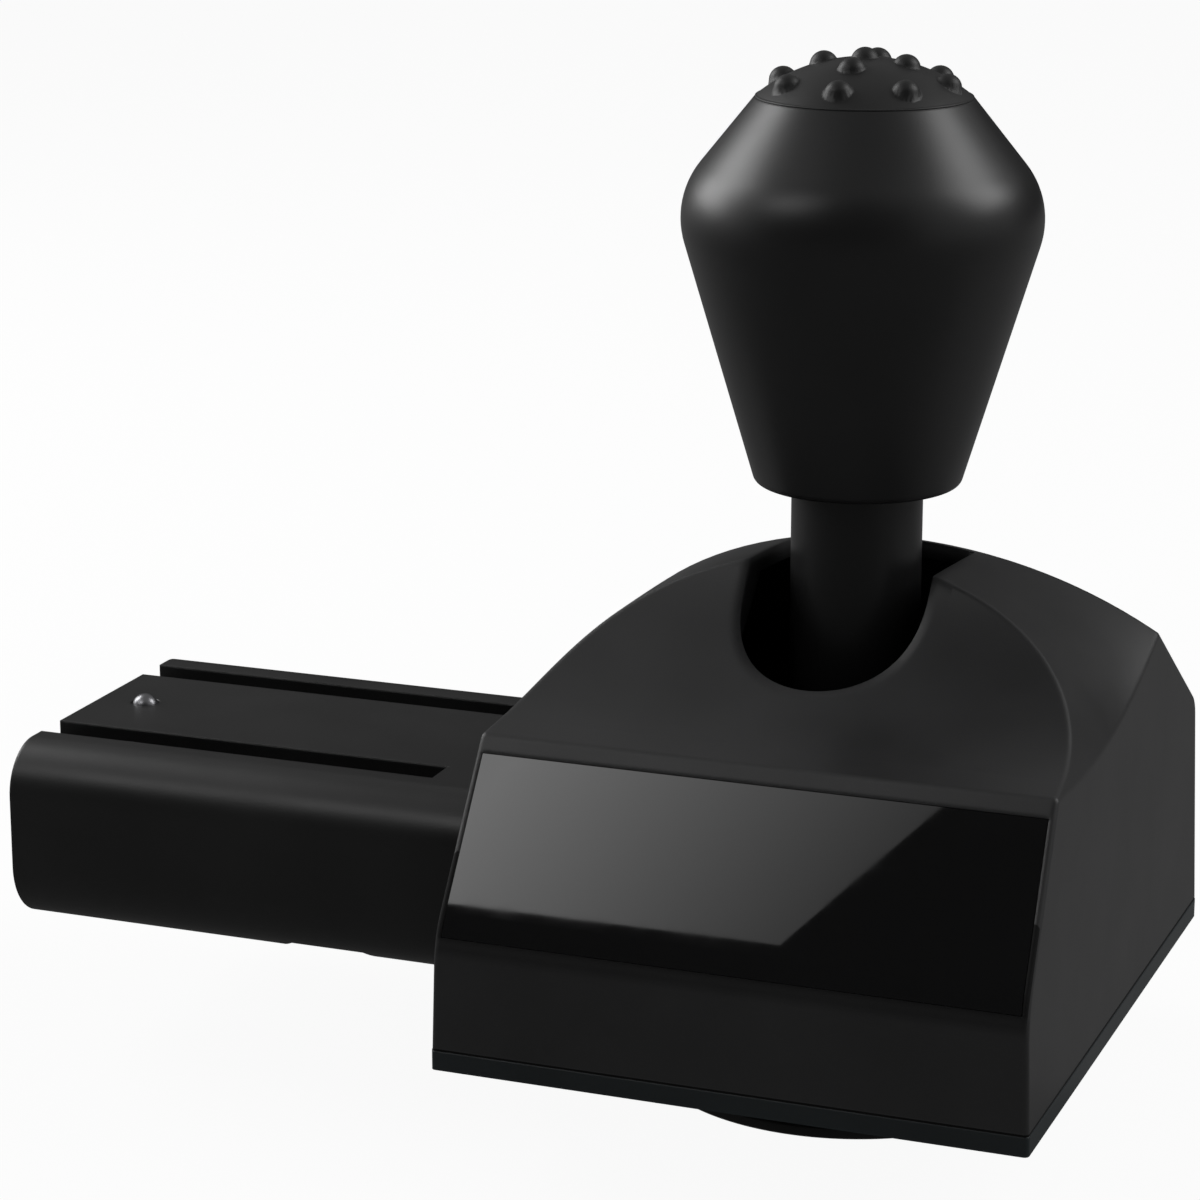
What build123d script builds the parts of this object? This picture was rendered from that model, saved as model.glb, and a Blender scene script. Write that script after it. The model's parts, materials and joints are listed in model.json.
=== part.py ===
from build123d import *
from math import asin, cos, degrees, pi, radians, sin, sqrt, tan
import os

os.makedirs("parts", exist_ok=True)

# A sequential gear shifter: a sprung lever in a wedge-shaped body on a suction foot, with an arm
# that plugs into the side of a steering wheel base. Sizes are in millimetres. The origin is on the
# desk, at the centre of the suction foot and under the lever's axis. X runs to the right, Y to the
# back and Z up. A setback is measured back from the body's front, and a height is measured up from
# the underside of the base plate.

overrun = 5.0

# Body
body_width = 84.0
front_depth = 56.5
rear_depth = 42.2
desk_gap = 14.3
plate_thick = 2.8
wall = 2.4
side_draft_deg = 1.76
rear_draft_deg = 1.76
crease_radius = 0.5
front_edge_radius = 0.7
rear_top_radius = 4.0

# Front of the body, from the bend above its foot to the edge of the arch
bend_height = 19.2
bend_radius = 13.0
shoulder_setback = 15.4
shoulder_height = 43.8
ledge_depth = 26.1
ledge_rise = 4.0
scoop_radius = 42.4
scoop_lean_deg = 61.8

# Arched top of the body. A cross-section has the height of its crest, the height where it springs
# from a side, and the share of a half ellipse that it takes up on that side. Behind the edge of the
# arch the left side falls away sooner than the right one. The rim and the tail are measured from
# the rear, and the back arch is a lead ahead of the rim.
arch_crest = 64.9
arch_spring = 43.1
arch_bow_share = 0.95
scoop_arch_setback = 19.0
middle_arch_setback = 37.8
back_arch_lead = 13.9
back_crest = 63.6
back_left_spring = 44.5
back_left_bow_share = 0.945
back_right_spring = 46.7
back_right_bow_share = 0.811
rim_inset = 26.0
rim_crest = 61.9
rim_left_spring = 46.0
rim_left_bow_share = 0.922
rim_right_spring = 51.2
rim_right_bow_share = 0.578
tail_inset = 1.1
tail_height = 34.5
arch_point_shares = (-1, -0.9, -0.72, -0.4, 0, 0.4, 0.72, 0.9, 1)

# Slot for the lever
slot_width = 26.8
slot_front = -22.5
slot_rear = 14.7
slot_floor_height = 38.0
slot_lip_depth = 6.6

# Glossy inlay on the front
panel_thick = 1.2
panel_margin = 2.8
panel_side_margin = 1.0
panel_fit = 0.1

# Screws, and the bosses that take them
screw_radius = 1.5
screw_head_radius = 2.8
screw_head_height = 1.6
screw_length = 8.0
screw_hole_radius = 1.7
screw_head_gap = 0.2
boss_radius = 3.6
boss_height = 11.0
body_screw_side_inset = 5.6
body_screw_front_inset = 7.5
body_screw_rear_inset = 8.2

# Suction foot
foot_radius = 28.7
foot_lip = 2.4
foot_edge = 1.4
foot_hollow = 3.4
foot_hollow_share = 0.75
foot_bulge_radius = 20.0
foot_bulge_height = 5.8
foot_shoulder_radius = 9.0
foot_shoulder_height = 8.6
foot_neck_radius = 7.0
stud_radius = 3.0
stud_head_radius = 5.0
stud_head_base = 5.6
stud_head_height = 2.0
stud_reach = 3.0
stud_hole_radius = 3.3
nut_radius = 5.5
nut_thick = 2.2

# Lever pivot and its bracket
pivot_height = 27.7
pin_radius = 2.5
pin_fit = 0.05
pin_overhang = 1.8
clip_radius = 4.6
clip_thick = 0.8
clip_gap = 0.1
cheek_gap = 0.6
bracket_wall = 3.0
bracket_reach = 24.0
bracket_wall_height = 12.6
cheek_boss_radius = 7.0
lug_x = 8.0
lug_overhang = 4.5
lug_radius = 4.0
lug_height = 9.0
window_gap = 0.9

# Lever
hub_radius = 7.4
hub_half_width = 10.0
hub_socket_radius = 8.4
hub_socket_height = 12.5
bush_radius = 4.0
bush_length = 7.0
fork_inner = 5.6
fork_thick = 3.0
fork_half_depth = 5.0
fork_slot_gap = 0.3
fork_slot_room = 0.5
fork_overhang = 2.9
rod_radius = 4.0
rod_seat_height = 5.5
lever_nut_radius = 7.2
lever_nut_thick = 5.0
sleeve_radius = 9.3
sleeve_bore_radius = 4.2
sleeve_recess_radius = 7.8
sleeve_recess_gap = 0.4

# Knob, with rises measured up from its base
knob_base_height = 73.6
knob_base_radius = 14.5
knob_belly_rise = 40.2
knob_belly_radius = 26.5
knob_belly_round = 12.0
knob_seam_rise = 54.4
knob_seam_radius = 15.1
knob_foot_round = 1.4
knob_recess = 2.0
knob_recess_gap = 0.15
insert_radius = 6.5
insert_length = 18.0
insert_rise = 8.4
rod_in_insert = 15.0
cap_rise = 5.4
cap_depth = 1.6
cap_peg_radius = 5.0
cap_peg_length = 4.0
bump_radius = 2.0
bump_sink = 0.6
inner_ring_radius = 5.9
inner_ring_count = 4
outer_ring_inset = 3.3
outer_ring_count = 8

# Centring slider on its guide rod, with its springs
guide_height = 9.7
guide_radius = 2.0
guide_overhang = 1.8
rod_clip_radius = 3.4
slider_half_width = 5.0
slider_length = 13.0
slider_low_height = 6.5
slider_high_height = 13.4
trunnion_radius = 2.0
trunnion_overhang = 0.4
spring_radius = 3.1
spring_wire_radius = 0.4
spring_turns = 8
spring_seat_gap = 0.1
stop_sleeve_radius = 2.5
stop_gap = 2.6
vane_x = 21.0
vane_thick = 1.0
vane_half_length = 4.8
vane_low_height = 8.9
vane_high_height = 15.4
vane_spigot_radius = 1.2
vane_spigot_overhang = 0.4
vane_tab_margin = 1.0

# Circuit board
board_shift = 3.3
board_width = 17.4
board_length = 44.0
board_base_height = 4.7
board_thick = 1.6
board_screw_pitch_x = 11.8
board_screw_pitch_y = 35.0
board_post_radius = 2.4
board_screw_length = 5.0
board_screw_radius = 1.0
board_screw_head_radius = 1.9
board_screw_head_height = 1.2
board_screw_hole_radius = 1.15
sensor_width = 9.0
sensor_length = 4.0
sensor_gap = 3.0
sensor_base_height = 2.2
sensor_height = 7.4
sensor_near = 5.2
header_width = 6.8
header_length = 5.0
header_height = 6.0
header_y = -15.5

# Arm, with insets measured in from its long sides
arm_half_width = 29.0
arm_centre_y = -7.2
arm_base_height = 3.95
arm_top_height = 31.25
arm_reach = 75.9
arm_overlap = 12.0
arm_wall = 2.2
arm_top_radius = 7.3
arm_base_radius = 9.2
arm_fit = 0.2
groove_inset = 10.1
groove_width = 5.6
groove_depth = 2.6
groove_gap = 12.6
notch_gap = 21.0
notch_width = 13.4
notch_ramp = 1.7
notch_depth = 1.8
arm_screw_overlap = 7.4
arm_screw_inset = 13.0
arm_boss_height = 8.0
arm_pad_reach = 6.0

# End of the arm, with its plug
end_cap_thick = 2.2
end_cap_fit = 0.1
end_screw_inset = 6.2
end_screw_height = 19.5
end_boss_radius = 4.2
end_boss_length = 9.0
plug_width = 36.0
plug_low_height = 6.6
plug_high_height = 14.2
plug_length = 16.0
mouth_width = 30.0
mouth_height = 4.4
mouth_depth = 9.0
contact_count = 8
contact_pitch = 3.2
contact_width = 1.2
contact_thick = 0.6
contact_length = 10.0
contact_reach = 4.5

# Cable between the board and the plug
cable_radius = 1.6
cable_height = 10.2
cable_front_y = -40.0
cable_left_x = -20.0
cable_bend_radius = 10.0

# Lock pin in the top of the arm
lock_inset = 7.4
lock_radius = 2.0
lock_rise = 1.3
lock_fit = 0.06
lock_collar_radius = 3.0
lock_collar_fit = 0.1
lock_collar_thick = 1.2
lock_collar_gap = 0.1
lock_tube_radius = 4.6
lock_tube_gap = 1.85
lock_seat_thick = 2.0
lock_spring_radius = 2.3
lock_spring_wire_radius = 0.25
lock_spring_turns = 6

# Places that follow from the sizes above
body_depth = front_depth + rear_depth
side_x = body_width / 2
plate_top = desk_gap + plate_thick
screw_seat = desk_gap + screw_head_height
screw_tip = screw_seat + screw_length
pivot_z = desk_gap + pivot_height
guide_z = desk_gap + guide_height
board_base = desk_gap + board_base_height
board_top = board_base + board_thick
board_x = vane_x + board_shift
arm_base = desk_gap + arm_base_height
arm_top = desk_gap + arm_top_height
arm_inner_top = arm_top - arm_wall
arm_inner_base = arm_base + arm_wall
cheek_inner = hub_half_width + cheek_gap
cheek_outer = cheek_inner + bracket_wall
end_wall_inner = bracket_reach - bracket_wall
lug_y = bracket_reach + lug_overhang
hub_top = pivot_z + hub_socket_height
knob_base = desk_gap + knob_base_height
knob_belly = knob_base + knob_belly_rise
knob_seam = knob_base + knob_seam_rise
insert_base = knob_base + insert_rise
slider_half = slider_length / 2
arm_left = -side_x - arm_reach
arm_right = arm_overlap - side_x
arm_screw_x = arm_screw_overlap - side_x
arm_screw_ys = [arm_centre_y + side * (arm_half_width - arm_screw_inset) for side in (-1, 1)]
end_screw_ys = [arm_centre_y + side * (arm_half_width - end_screw_inset) for side in (-1, 1)]
groove_far = arm_half_width - groove_inset
groove_near = groove_far - groove_width
groove_end = -side_x - groove_gap
notch_right = -side_x - notch_gap
notch_left = notch_right - notch_width
end_screw_z = desk_gap + end_screw_height
end_cap_right = arm_left + end_cap_thick
plug_right = arm_left + plug_length
lock_x = arm_left + lock_inset
lock_tube_base = desk_gap + plug_high_height + lock_tube_gap
lock_seat_top = lock_tube_base + lock_seat_thick
lock_collar_top = arm_inner_top - lock_collar_gap
lock_collar_base = lock_collar_top - lock_collar_thick
lock_tip = arm_top + lock_rise
cap_sphere_radius = (knob_seam_radius**2 + cap_rise**2) / (2 * cap_rise)
bush_sides = (
    (hub_half_width - bush_length, hub_half_width),
    (-hub_half_width, bush_length - hub_half_width),
)
body_screw_ys = (body_screw_front_inset - front_depth, rear_depth - body_screw_rear_inset)
body_screw_places = [
    (side * (side_x - body_screw_side_inset), y) for side in (-1, 1) for y in body_screw_ys
]
lug_places = [(x, y) for x in (-lug_x, lug_x) for y in (-lug_y, lug_y)]
board_screw_places = [
    (board_x + x, y)
    for x in (-board_screw_pitch_x / 2, board_screw_pitch_x / 2)
    for y in (-board_screw_pitch_y / 2, board_screw_pitch_y / 2)
]
contact_ys = [
    arm_centre_y + (number - (contact_count - 1) / 2) * contact_pitch
    for number in range(contact_count)
]

# Corners of the body's outline, seen from the side
rear_lean = tan(radians(rear_draft_deg))
top_height = arch_crest + 2 * overrun
top_z = desk_gap + top_height
bend_place = (-front_depth, desk_gap + bend_height)
shoulder_place = (shoulder_setback - front_depth, desk_gap + shoulder_height)
scoop_place = (shoulder_place[0] + ledge_depth, shoulder_place[1] + ledge_rise)
brow_run = (top_z - scoop_place[1]) / tan(radians(scoop_lean_deg))
brow_place = (scoop_place[0] + brow_run, top_z)
front_slope = (Vector(*shoulder_place) - Vector(*bend_place)).normalized()
ledge_slope = (Vector(*scoop_place) - Vector(*shoulder_place)).normalized()
ledge_end = Vector(*shoulder_place) - ledge_slope * (shoulder_setback + overrun)
slope_end = Vector(*shoulder_place) + front_slope * shoulder_setback

# Cross-sections of the arched top: setback, crest, and the spring and bow of the left and right
rim_setback = body_depth - rim_inset
arch_side = (arch_spring, arch_bow_share)
back_left = (back_left_spring, back_left_bow_share)
back_right = (back_right_spring, back_right_bow_share)
rim_left = (rim_left_spring, rim_left_bow_share)
rim_right = (rim_right_spring, rim_right_bow_share)
rim_arch = (rim_setback, rim_crest, rim_left, rim_right)
top_arches = [
    (setback, arch_crest, arch_side, arch_side)
    for setback in (-overrun, scoop_arch_setback, middle_arch_setback)
]
top_arches += [(rim_setback - back_arch_lead, back_crest, back_left, back_right), rim_arch]


UPRIGHT = (Align.CENTER, Align.CENTER, Align.MIN)


def half_width(height):
    """Half the body's width at a height, with the draft of its sides."""
    return body_width / 2 - height * tan(radians(side_draft_deg))


def block(x_limits, y_limits, z_limits, mode=Mode.ADD):
    """A block between two limits along each axis, in the part that is open."""
    low, high = zip(x_limits, y_limits, z_limits)
    with Locations(low):
        Box(*(end - start for start, end in zip(low, high)), align=Align.MIN, mode=mode)


def post(x, y, z_limits, radius, mode=Mode.ADD):
    """An upright cylinder in the part that is open."""
    with Locations((x, y, z_limits[0])):
        Cylinder(radius, z_limits[1] - z_limits[0], align=UPRIGHT, mode=mode)


def bar_x(x_limits, y, z, radius, mode=Mode.ADD):
    """A cylinder along X in the part that is open."""
    with Locations(Location((x_limits[0], y, z), (0, 90, 0))):
        Cylinder(radius, x_limits[1] - x_limits[0], align=UPRIGHT, mode=mode)


def bar_y(x, y_limits, z, radius, mode=Mode.ADD):
    """A cylinder along Y in the part that is open."""
    with Locations(Location((x, y_limits[0], z), (-90, 0, 0))):
        Cylinder(radius, y_limits[1] - y_limits[0], align=UPRIGHT, mode=mode)


def screw_up(x, y):
    """A screw with its head sunk in the base plate and its shank pointing up."""
    post(x, y, (desk_gap, screw_seat), screw_head_radius)
    post(x, y, (screw_seat, screw_tip), screw_radius)


def screw_hole(x, y, top):
    """The hole for such a screw, up to the top of the plate or pad, with the recess for its head."""
    post(x, y, (desk_gap, top), screw_hole_radius, Mode.SUBTRACT)
    post(x, y, (desk_gap, screw_seat), screw_head_radius + screw_head_gap, Mode.SUBTRACT)


def nearest(vertices, place):
    """The vertex that lies nearest to a place in the sketch's own plane."""
    return vertices.sort_by_distance(Vertex(*place))[0]


def arch_outline(arch, inset=0):
    """A cross-section of the body, moved in by the inset."""
    setback, crest, left, right = arch
    foot = plate_thick - 2 * inset
    points = []
    for share in arch_point_shares:
        spring, bow_share = left if share < 0 else right
        inner = half_width(spring - inset) - inset
        sink = (1 - sqrt(1 - (bow_share * share) ** 2)) / (1 - sqrt(1 - bow_share**2))
        points.append((inner * share, desk_gap + crest - (crest - spring) * sink - inset))
    with BuildSketch(Plane.XZ.offset(front_depth - setback)) as outline:
        with BuildLine():
            Spline(*points)
            Polyline(
                points[-1],
                (half_width(foot) - inset, desk_gap + foot),
                (inset - half_width(foot), desk_gap + foot),
                points[0],
            )
        make_face()
    return outline.sketch


def tail_arch():
    """The rear end of the sloping back, on the line from the rim to the tail's straight edge."""
    reach = (rim_inset + overrun) / (rim_inset - tail_inset)
    crest = rim_crest + reach * (tail_height - rim_crest)
    left, right = (
        (spring + reach * (tail_height - spring), bow_share)
        for spring, bow_share in (rim_left, rim_right)
    )
    return (body_depth + overrun, crest, left, right)


def side_outline(points, rounds=(), inset=0):
    """An outline of the body from the side, with its rounded corners, moved in by the inset."""
    with BuildSketch(Plane.YZ.offset(-body_width)) as outline:
        with BuildLine():
            Polyline(*points, close=True)
        make_face()
        for place, radius in rounds:
            fillet(nearest(outline.vertices(), place), radius=radius)
        if inset > 0:
            offset(amount=-inset, kind=Kind.INTERSECTION, mode=Mode.REPLACE)
    return outline.sketch


def rear_points(foot):
    """The corners at the top and the foot of the rear wall."""
    lean = (foot - desk_gap) * rear_lean
    return [(rear_depth - top_height * rear_lean, top_z), (rear_depth - lean, foot)]


def is_crosswise(edge):
    """Whether an edge runs from one side of the body to the other."""
    return abs((edge @ 0).X + (edge @ 1).X) < wall and edge.length > body_width / 2


def is_at_foot(edge):
    """Whether an edge lies on the underside of the form."""
    return max((edge @ 0).Z, (edge @ 0.5).Z, (edge @ 1).Z) < plate_top + panel_fit


def is_upper_edge(edge):
    """Whether an edge of the arched top, the sides or the rear is one to be rounded."""
    if is_at_foot(edge) or edge.center().Y < ledge_end.X + wall:
        return False
    return not is_crosswise(edge) or (
        edge.geom_type != GeomType.LINE and edge.center().Y < rear_depth - rear_top_radius
    )


def is_front_edge(edge):
    """Whether an edge of the sloping front is one to be rounded."""
    if is_at_foot(edge) or edge.center().Y > shoulder_place[0] + crease_radius:
        return False
    return not is_crosswise(edge) or edge.center().Y > shoulder_place[0] - wall


def body_arches(inset=0):
    """The cross-sections of the arched top, and those of the sloping back behind it."""
    top = [arch_outline(arch, inset) for arch in top_arches]
    back = [arch_outline(arch, inset) for arch in (rim_arch, tail_arch())]
    return top, back


def upper_outline():
    """The outline of the ledge, the front of the arch and the rear wall, seen from the side."""
    points = [(ledge_end.X, plate_top), (ledge_end.X, ledge_end.Y), scoop_place, brow_place]
    return side_outline(points + rear_points(plate_top), [(scoop_place, scoop_radius)])


def outer_body():
    """The outside of the body as a block, with its edges rounded."""
    top, back = body_arches()
    lower = [(-front_depth, plate_top), bend_place, (slope_end.X, slope_end.Y)]
    lower += [(slope_end.X, top_z), (rear_depth, top_z), (rear_depth, plate_top)]
    with BuildPart() as body:
        loft(top)
        loft(back, ruled=True)
        extrude(upper_outline(), amount=2 * body_width, mode=Mode.INTERSECT)
        across = body.edges().filter_by(is_crosswise).filter_by(is_at_foot, reverse=True)
        fillet(across.sort_by(Axis.Y)[-1], radius=rear_top_radius)
        fillet(body.edges().filter_by(is_upper_edge), radius=crease_radius)
        profile = side_outline(lower, [(bend_place, bend_radius)])
        extrude(profile, amount=2 * body_width, mode=Mode.INTERSECT)
        fillet(body.edges().filter_by(is_front_edge), radius=front_edge_radius)
    return body.part


def inner_body():
    """The hollow inside the body, as a block that reaches below its open foot."""
    foot = plate_top - 2 * wall
    top, back = body_arches(wall)
    points = [(-front_depth, foot), bend_place, shoulder_place, scoop_place, brow_place]
    points += rear_points(foot)
    rounds = [(bend_place, bend_radius), (scoop_place, scoop_radius)]
    with BuildPart() as hollow:
        loft(top)
        loft(back, ruled=True)
        profile = side_outline(points, rounds, wall)
        extrude(profile, amount=2 * body_width, mode=Mode.INTERSECT)
    return hollow.part


def slot_cutter(grow=0):
    """The slot for the lever, from its floor up past the arch, grown by a wall."""
    middle = slot_front + slot_width / 2
    with BuildPart() as cutter:
        with BuildSketch(Plane.XY.offset(desk_gap + slot_floor_height)):
            with Locations((0, middle)):
                Circle(slot_width / 2 + grow)
            with Locations((0, (middle + slot_rear) / 2)):
                Rectangle(slot_width + 2 * grow, slot_rear - middle)
        extrude(amount=top_z - desk_gap - slot_floor_height)
    return cutter.part


def slot_lip(outside):
    """The deeper edge of the slot, where it runs up the front of the arch, inside the body."""
    with BuildPart() as lip:
        add(slot_cutter(wall))
        extrude(upper_outline(), amount=2 * body_width, mode=Mode.INTERSECT)
        behind = upper_outline().moved(Location((0, slot_lip_depth, 0)))
        extrude(behind, amount=2 * body_width, mode=Mode.SUBTRACT)
        add(outside, mode=Mode.INTERSECT)
    return lip.part


def panel_body(grow=0):
    """The inlay on the sloping front, or with some growth the pocket that holds it."""
    inward = Vector(front_slope.Y, -front_slope.X)
    low = Vector(*bend_place) - Vector(0, grow)
    high = Vector(*shoulder_place) - front_slope * (panel_margin - grow)
    band = [
        low - Vector(overrun, 0),
        low + Vector(overrun, 0),
        high + inward * overrun,
        high - inward * overrun,
    ]
    wedge = [(-front_depth, plate_top), bend_place, (slope_end.X, slope_end.Y), (rear_depth, plate_top)]
    rounds = [(bend_place, bend_radius)]
    foot_half = half_width(0) - panel_side_margin + grow
    top_half = half_width(top_height) - panel_side_margin + grow
    with BuildPart() as panel:
        extrude(side_outline(wedge, rounds), amount=2 * body_width)
        extrude(side_outline(wedge, rounds, panel_thick), amount=2 * body_width, mode=Mode.SUBTRACT)
        extrude(side_outline([(p.X, p.Y) for p in band]), amount=2 * body_width, mode=Mode.INTERSECT)
        with BuildSketch(Plane.XZ.offset(front_depth + overrun)):
            with BuildLine():
                Polyline(
                    (-foot_half, desk_gap),
                    (foot_half, desk_gap),
                    (top_half, top_z),
                    (-top_half, top_z),
                    close=True,
                )
            make_face()
        extrude(amount=-body_depth, mode=Mode.INTERSECT)
    return panel.part


def arm_outline(x, inset=0):
    """The arm's outline across its length, moved in by the inset, or out by a negative one."""
    half = arm_half_width - inset
    low = arm_base + inset
    high = arm_top - inset
    corners = [((arm_centre_y + side, high), arm_top_radius - inset) for side in (-half, half)]
    corners += [((arm_centre_y + side, low), arm_base_radius - inset) for side in (-half, half)]
    with BuildSketch(Plane.YZ.offset(x)) as outline:
        with Locations((arm_centre_y, (low + high) / 2)):
            Rectangle(2 * half, high - low)
        for place, radius in corners:
            fillet(nearest(outline.vertices(), place), radius=radius)
    return outline.sketch


def cut_grooves(grow=0):
    """Cut the two grooves in the arm's top, grown by a wall, out of the part that is open."""
    for side in (-1, 1):
        y_limits = sorted((side * (groove_near - grow), side * (groove_far + grow)))
        block(
            (arm_left - overrun, groove_end + grow),
            [arm_centre_y + y for y in y_limits],
            (arm_top - groove_depth - grow, arm_top + overrun),
            Mode.SUBTRACT,
        )


def cut_notch(grow=0):
    """Cut the notch across the arm's underside, grown by a wall, out of the part that is open."""
    notch_top = arm_base + notch_depth + grow
    ramp_foot = notch_right + notch_ramp + grow
    with BuildSketch(Plane.XZ.offset(arm_half_width - arm_centre_y + overrun)) as outline:
        with BuildLine():
            Polyline(
                (notch_left - grow, arm_base - overrun),
                (notch_left - grow, notch_top),
                (notch_right + grow, notch_top),
                (ramp_foot, arm_base),
                (ramp_foot, arm_base - overrun),
                close=True,
            )
        make_face()
    extrude(outline.sketch, amount=-2 * (arm_half_width + overrun), mode=Mode.SUBTRACT)


def biarc(start, start_way, end, end_way):
    """Two arcs that run from a start to an end and meet smoothly, in the line that is open."""
    ways = start_way + end_way
    chord = end - start
    square = 4 - ways.dot(ways)
    linear = chord.dot(ways)
    reach = (sqrt(linear**2 + square * chord.dot(chord)) - linear) / square
    middle = (start + end + (start_way - end_way) * reach) / 2
    TangentArc(start, middle, tangent=start_way)
    TangentArc(middle, end, tangent=(end - end_way * reach - middle).normalized())


def coil(seat, radius, wire_radius, turns, length):
    """A spring of round wire that winds around the Z of the plane that it sits on."""
    rise = (length - 2 * wire_radius) / turns
    stations = []
    for quarter in range(4 * turns + 1):
        angle = quarter * pi / 2
        height = wire_radius + rise * quarter / 4
        place = Vector(radius * cos(angle), radius * sin(angle), height)
        way = Vector(-radius * sin(angle), radius * cos(angle), rise / (2 * pi)).normalized()
        start = seat.from_local_coords(place)
        stations.append((start, seat.from_local_coords(place + way) - start))
    with BuildPart() as spring:
        with BuildLine() as wire:
            for (start, start_way), (end, end_way) in zip(stations, stations[1:]):
                biarc(start, start_way, end, end_way)
        with BuildSketch(Plane(stations[0][0], z_dir=stations[0][1])):
            Circle(wire_radius)
        sweep(path=wire.wire())
    turn_gap = min((b[0] - a[0]).length for a, b in zip(stations, stations[4:])) - 2 * wire_radius
    print("least gap between turns", round(turn_gap, 2))
    return spring.part


def finish(piece, label):
    """Name a finished piece and write it."""
    piece.part.label = label
    export_step(piece.part, f"parts/{label}.step")


# Housing

with BuildPart() as housing:
    outside = outer_body()
    add(outside)
    add(inner_body(), mode=Mode.SUBTRACT)
    for x, y in body_screw_places:
        post(x, y, (plate_top, plate_top + boss_height), boss_radius)
    add(panel_body(panel_fit), mode=Mode.SUBTRACT)
    add(slot_lip(outside))
    add(slot_cutter(), mode=Mode.SUBTRACT)
    port = arm_outline(-body_width / 2 - overrun, -arm_fit)
    extrude(port, amount=overrun + wall * 2, mode=Mode.SUBTRACT)
    for x, y in body_screw_places:
        post(x, y, (plate_top, screw_tip), screw_radius, Mode.SUBTRACT)
finish(housing, "housing")

with BuildPart() as front_panel:
    add(panel_body())
finish(front_panel, "front_panel")

# Base plate, with pads under the arm and posts under the board

with BuildPart() as base_plate:
    with BuildSketch(Plane.XY.offset(desk_gap)):
        with Locations((0, body_depth / 2 - front_depth)):
            RectangleRounded(body_width, body_depth, front_edge_radius)
    extrude(amount=plate_thick)
    for y in arm_screw_ys:
        x_limits = (arm_screw_x - boss_radius, arm_screw_x + boss_radius)
        block(x_limits, (y - arm_pad_reach, y + arm_pad_reach), (plate_top, arm_base))
        screw_hole(arm_screw_x, y, arm_base)
    for x, y in board_screw_places:
        post(x, y, (plate_top, board_base), board_post_radius)
        post(x, y, (board_top - board_screw_length, board_base), board_screw_radius, Mode.SUBTRACT)
    for x, y in body_screw_places + lug_places:
        screw_hole(x, y, plate_top)
    post(0, 0, (desk_gap, plate_top), stud_hole_radius, Mode.SUBTRACT)
finish(base_plate, "base_plate")

with BuildPart() as housing_screws:
    for x, y in body_screw_places:
        screw_up(x, y)
finish(housing_screws, "housing_screws")

# Suction foot, with the stud that is moulded into it and the nut that holds it to the plate

with BuildPart() as suction_foot:
    with BuildSketch(Plane.XZ):
        with BuildLine():
            lip = foot_radius - foot_lip
            ThreePointArc(
                (0, foot_hollow),
                (lip / 2, foot_hollow * foot_hollow_share),
                (lip, 0),
            )
            Polyline((lip, 0), (foot_radius, 0), (foot_radius, foot_edge))
            ThreePointArc(
                (foot_radius, foot_edge),
                (foot_bulge_radius, foot_bulge_height),
                (foot_shoulder_radius, foot_shoulder_height),
            )
            Polyline(
                (foot_shoulder_radius, foot_shoulder_height),
                (foot_neck_radius, foot_shoulder_height),
                (foot_neck_radius, desk_gap),
                (0, desk_gap),
                (0, foot_hollow),
            )
        make_face()
    revolve(axis=Axis.Z)
    stud_head = (stud_head_base, stud_head_base + stud_head_height)
    post(0, 0, stud_head, stud_head_radius, Mode.SUBTRACT)
    post(0, 0, (stud_head_base, desk_gap), stud_radius, Mode.SUBTRACT)
finish(suction_foot, "suction_foot")

with BuildPart() as foot_stud:
    post(0, 0, stud_head, stud_head_radius)
    post(0, 0, (stud_head_base, plate_top + stud_reach), stud_radius)
finish(foot_stud, "foot_stud")

with BuildPart() as foot_nut:
    with BuildSketch(Plane.XY.offset(plate_top)):
        RegularPolygon(nut_radius, 6)
        Circle(stud_radius, mode=Mode.SUBTRACT)
    extrude(amount=nut_thick)
finish(foot_nut, "foot_nut")

# Pivot bracket: two cheeks joined by two end walls, with lugs that are screwed to the plate

with BuildPart() as pivot_bracket:
    bracket_top = plate_top + bracket_wall_height
    lug_limits = (plate_top, plate_top + lug_height)
    for side in (-1, 1):
        with BuildSketch(Plane.YZ.offset(side * (cheek_inner + bracket_wall / 2))):
            with BuildLine():
                Polyline(
                    (-bracket_reach, plate_top),
                    (-bracket_reach, bracket_top),
                    (-cheek_boss_radius, pivot_z),
                    (cheek_boss_radius, pivot_z),
                    (bracket_reach, bracket_top),
                    (bracket_reach, plate_top),
                    close=True,
                )
            make_face()
            with Locations((0, pivot_z)):
                Circle(cheek_boss_radius)
                Circle(pin_radius + pin_fit, mode=Mode.SUBTRACT)
        extrude(amount=bracket_wall / 2, both=True)
        wall_limits = sorted((side * end_wall_inner, side * bracket_reach))
        block((-cheek_inner, cheek_inner), wall_limits, (plate_top, bracket_top))
    for x, y in lug_places:
        post(x, y, lug_limits, lug_radius)
        lug_root = sorted((y, bracket_reach if y > 0 else -bracket_reach))
        block((x - lug_radius, x + lug_radius), lug_root, lug_limits)
        post(x, y, lug_limits, screw_radius, Mode.SUBTRACT)
    bar_y(0, (-bracket_reach, bracket_reach), guide_z, guide_radius + pin_fit, Mode.SUBTRACT)
    window = trunnion_radius + stop_gap + window_gap
    window_rise = trunnion_radius + window_gap
    block(
        (cheek_inner, cheek_outer),
        (-window, window),
        (guide_z - window_rise, guide_z + window_rise),
        Mode.SUBTRACT,
    )
finish(pivot_bracket, "pivot_bracket")

with BuildPart() as bracket_screws:
    for x, y in lug_places:
        screw_up(x, y)
finish(bracket_screws, "bracket_screws")

with BuildPart() as pivot_pin:
    reach = cheek_outer + pin_overhang
    bar_x((-reach, reach), 0, pivot_z, pin_radius)
finish(pivot_pin, "pivot_pin")

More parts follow.
